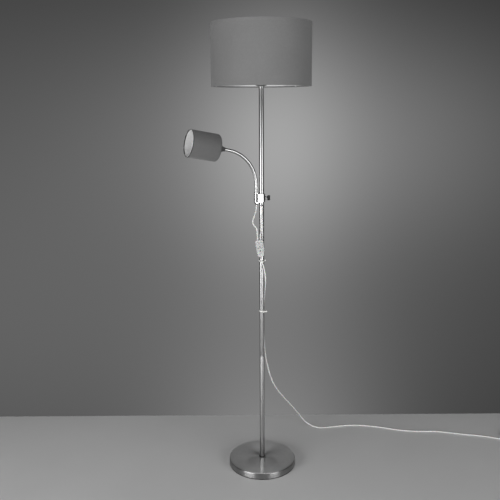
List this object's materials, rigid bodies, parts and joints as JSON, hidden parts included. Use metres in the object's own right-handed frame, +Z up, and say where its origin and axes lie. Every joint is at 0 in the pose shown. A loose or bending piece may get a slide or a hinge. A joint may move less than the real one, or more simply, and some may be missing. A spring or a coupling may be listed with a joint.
{
  "type": "floor lamp",
  "caption": "Floor lamp with a fabric drum shade, a reading light on a clamped gooseneck arm, a rocker switch in its lead and a weighted round base.",
  "frame": {"origin": "middle of the base pad's underside, on the floor and on the pole's axis", "axes": "+Z up along the pole; the gooseneck arm points along -X and the clamp's knob along +X; the switch is on the side between -X and -Y, from which the lamp is used"},
  "size_m": [1.3759, 0.5672, 1.653],
  "materials": {
    "brushed_nickel": "brushed",
    "cast_weight": "rough",
    "black_rubber": "matte",
    "black_plastic": "satin",
    "zinc_steel": "satin",
    "chrome": "polished",
    "dark_holder": "satin",
    "opal": "gloss",
    "grey_cloth": "matte",
    "white_wire": "gloss",
    "clear_vinyl": "gloss",
    "clear_housing": "gloss",
    "brass": "satin",
    "tie_nylon": "satin",
    "steel_pad": "satin"
  },
  "bodies": {
    "root": {"base_pad": "black_rubber", "base_cover": "brushed_nickel", "base_weight": "cast_weight", "foot_ring": "black_plastic", "lamp_pipes": "zinc_steel", "pipe_nuts": "zinc_steel", "pipe_washers": "zinc_steel", "pole_lower": "brushed_nickel", "pole_middle": "brushed_nickel", "pole_upper": "brushed_nickel", "pole_couplers": "zinc_steel", "pole_end_plugs": "zinc_steel", "pole_grommet": "black_rubber", "lampholder": "dark_holder", "main_bulb": "opal", "shade_drum": "grey_cloth", "shade_top_ring": "white_wire", "shade_spider": "white_wire", "shade_ring_nut": "dark_holder", "pole_lead": "clear_vinyl", "upper_lead": "clear_vinyl", "reading_lead": "clear_vinyl", "switch_base": "clear_housing", "switch_cover": "clear_housing", "switch_pivot": "zinc_steel", "switch_contacts": "brass", "switch_cord_clips": "clear_housing", "switch_screw": "zinc_steel", "cable_ties": "tie_nylon", "mains_lead": "clear_vinyl", "mains_coil": "clear_vinyl", "plug_strain_relief": "clear_vinyl", "plug_body": "clear_vinyl", "plug_pins": "brass"},
    "liner": {"clamp_liner": "black_plastic"},
    "clamp": {"clamp_block": "chrome", "arm_ferrule": "chrome", "arm_lock_nut": "chrome", "cord_gland": "dark_holder", "arm_root": "chrome"},
    "pad": {"thrust_pad": "steel_pad"},
    "knob": {"clamp_knob": "black_plastic", "knob_screw": "zinc_steel"},
    "arm_one": {"arm_lower": "chrome"},
    "arm_two": {"arm_middle": "chrome"},
    "arm_three": {"arm_upper": "chrome"},
    "reading_head": {"arm_end": "chrome", "head_cone": "black_plastic", "reading_shade": "grey_cloth", "reading_lampholder": "dark_holder", "reading_bulb": "opal"},
    "rocker_left": {"rocker_reading": "clear_housing"},
    "rocker_right": {"rocker_main": "clear_housing"}
  },
  "joints": [
    {"name": "clamp_height", "type": "slide", "parent": "root", "child": "liner", "axis": [0, 0, 1], "range_m": [0, 0.01], "deforming": ["reading_lead"]},
    {"name": "clamp_swivel", "type": "hinge", "parent": "liner", "child": "clamp", "pos_m": [0, 0, 1.0515], "axis": [0, 0, 1], "range_deg": [-60, 60]},
    {"name": "pad_travel", "type": "slide", "parent": "clamp", "child": "pad", "axis": [1, 0, 0], "range_m": [0, 0.0012]},
    {"name": "knob_turn", "type": "hinge", "parent": "pad", "child": "knob", "pos_m": [0.018, 0, 1.05], "axis": [1, 0, 0], "range_deg": [0, 545]},
    {"name": "arm_bend_1", "type": "hinge", "parent": "clamp", "child": "arm_one", "pos_m": [-0.0205, 0, 1.086], "axis": [0, 1, 0], "range_deg": [-20, 8]},
    {"name": "arm_bend_2", "type": "hinge", "parent": "arm_one", "child": "arm_two", "pos_m": [-0.02693, 0, 1.13685], "axis": [0, 1, 0], "range_deg": [-20, 10]},
    {"name": "arm_bend_3", "type": "hinge", "parent": "arm_two", "child": "arm_three", "pos_m": [-0.05174, 0, 1.18163], "axis": [0, 1, 0], "range_deg": [-20, 12]},
    {"name": "arm_bend_4", "type": "hinge", "parent": "arm_three", "child": "reading_head", "pos_m": [-0.09162, 0, 1.21373], "axis": [0, 1, 0], "range_deg": [-20, 15]},
    {"name": "rocker_left_tilt", "type": "hinge", "parent": "root", "child": "rocker_left", "pos_m": [-0.02383, -0.02032, 0.88157], "axis": [0.9075, -0.404, 0.1149], "range_deg": [0, 14]},
    {"name": "rocker_right_tilt", "type": "hinge", "parent": "root", "child": "rocker_right", "pos_m": [-0.01366, -0.02485, 0.88286], "axis": [0.9075, -0.404, 0.1149], "range_deg": [0, 14]}
  ],
  "couplings": [
    {"joint": "knob_turn", "follows": "pad_travel", "rad_per_m": 7854}
  ]
}
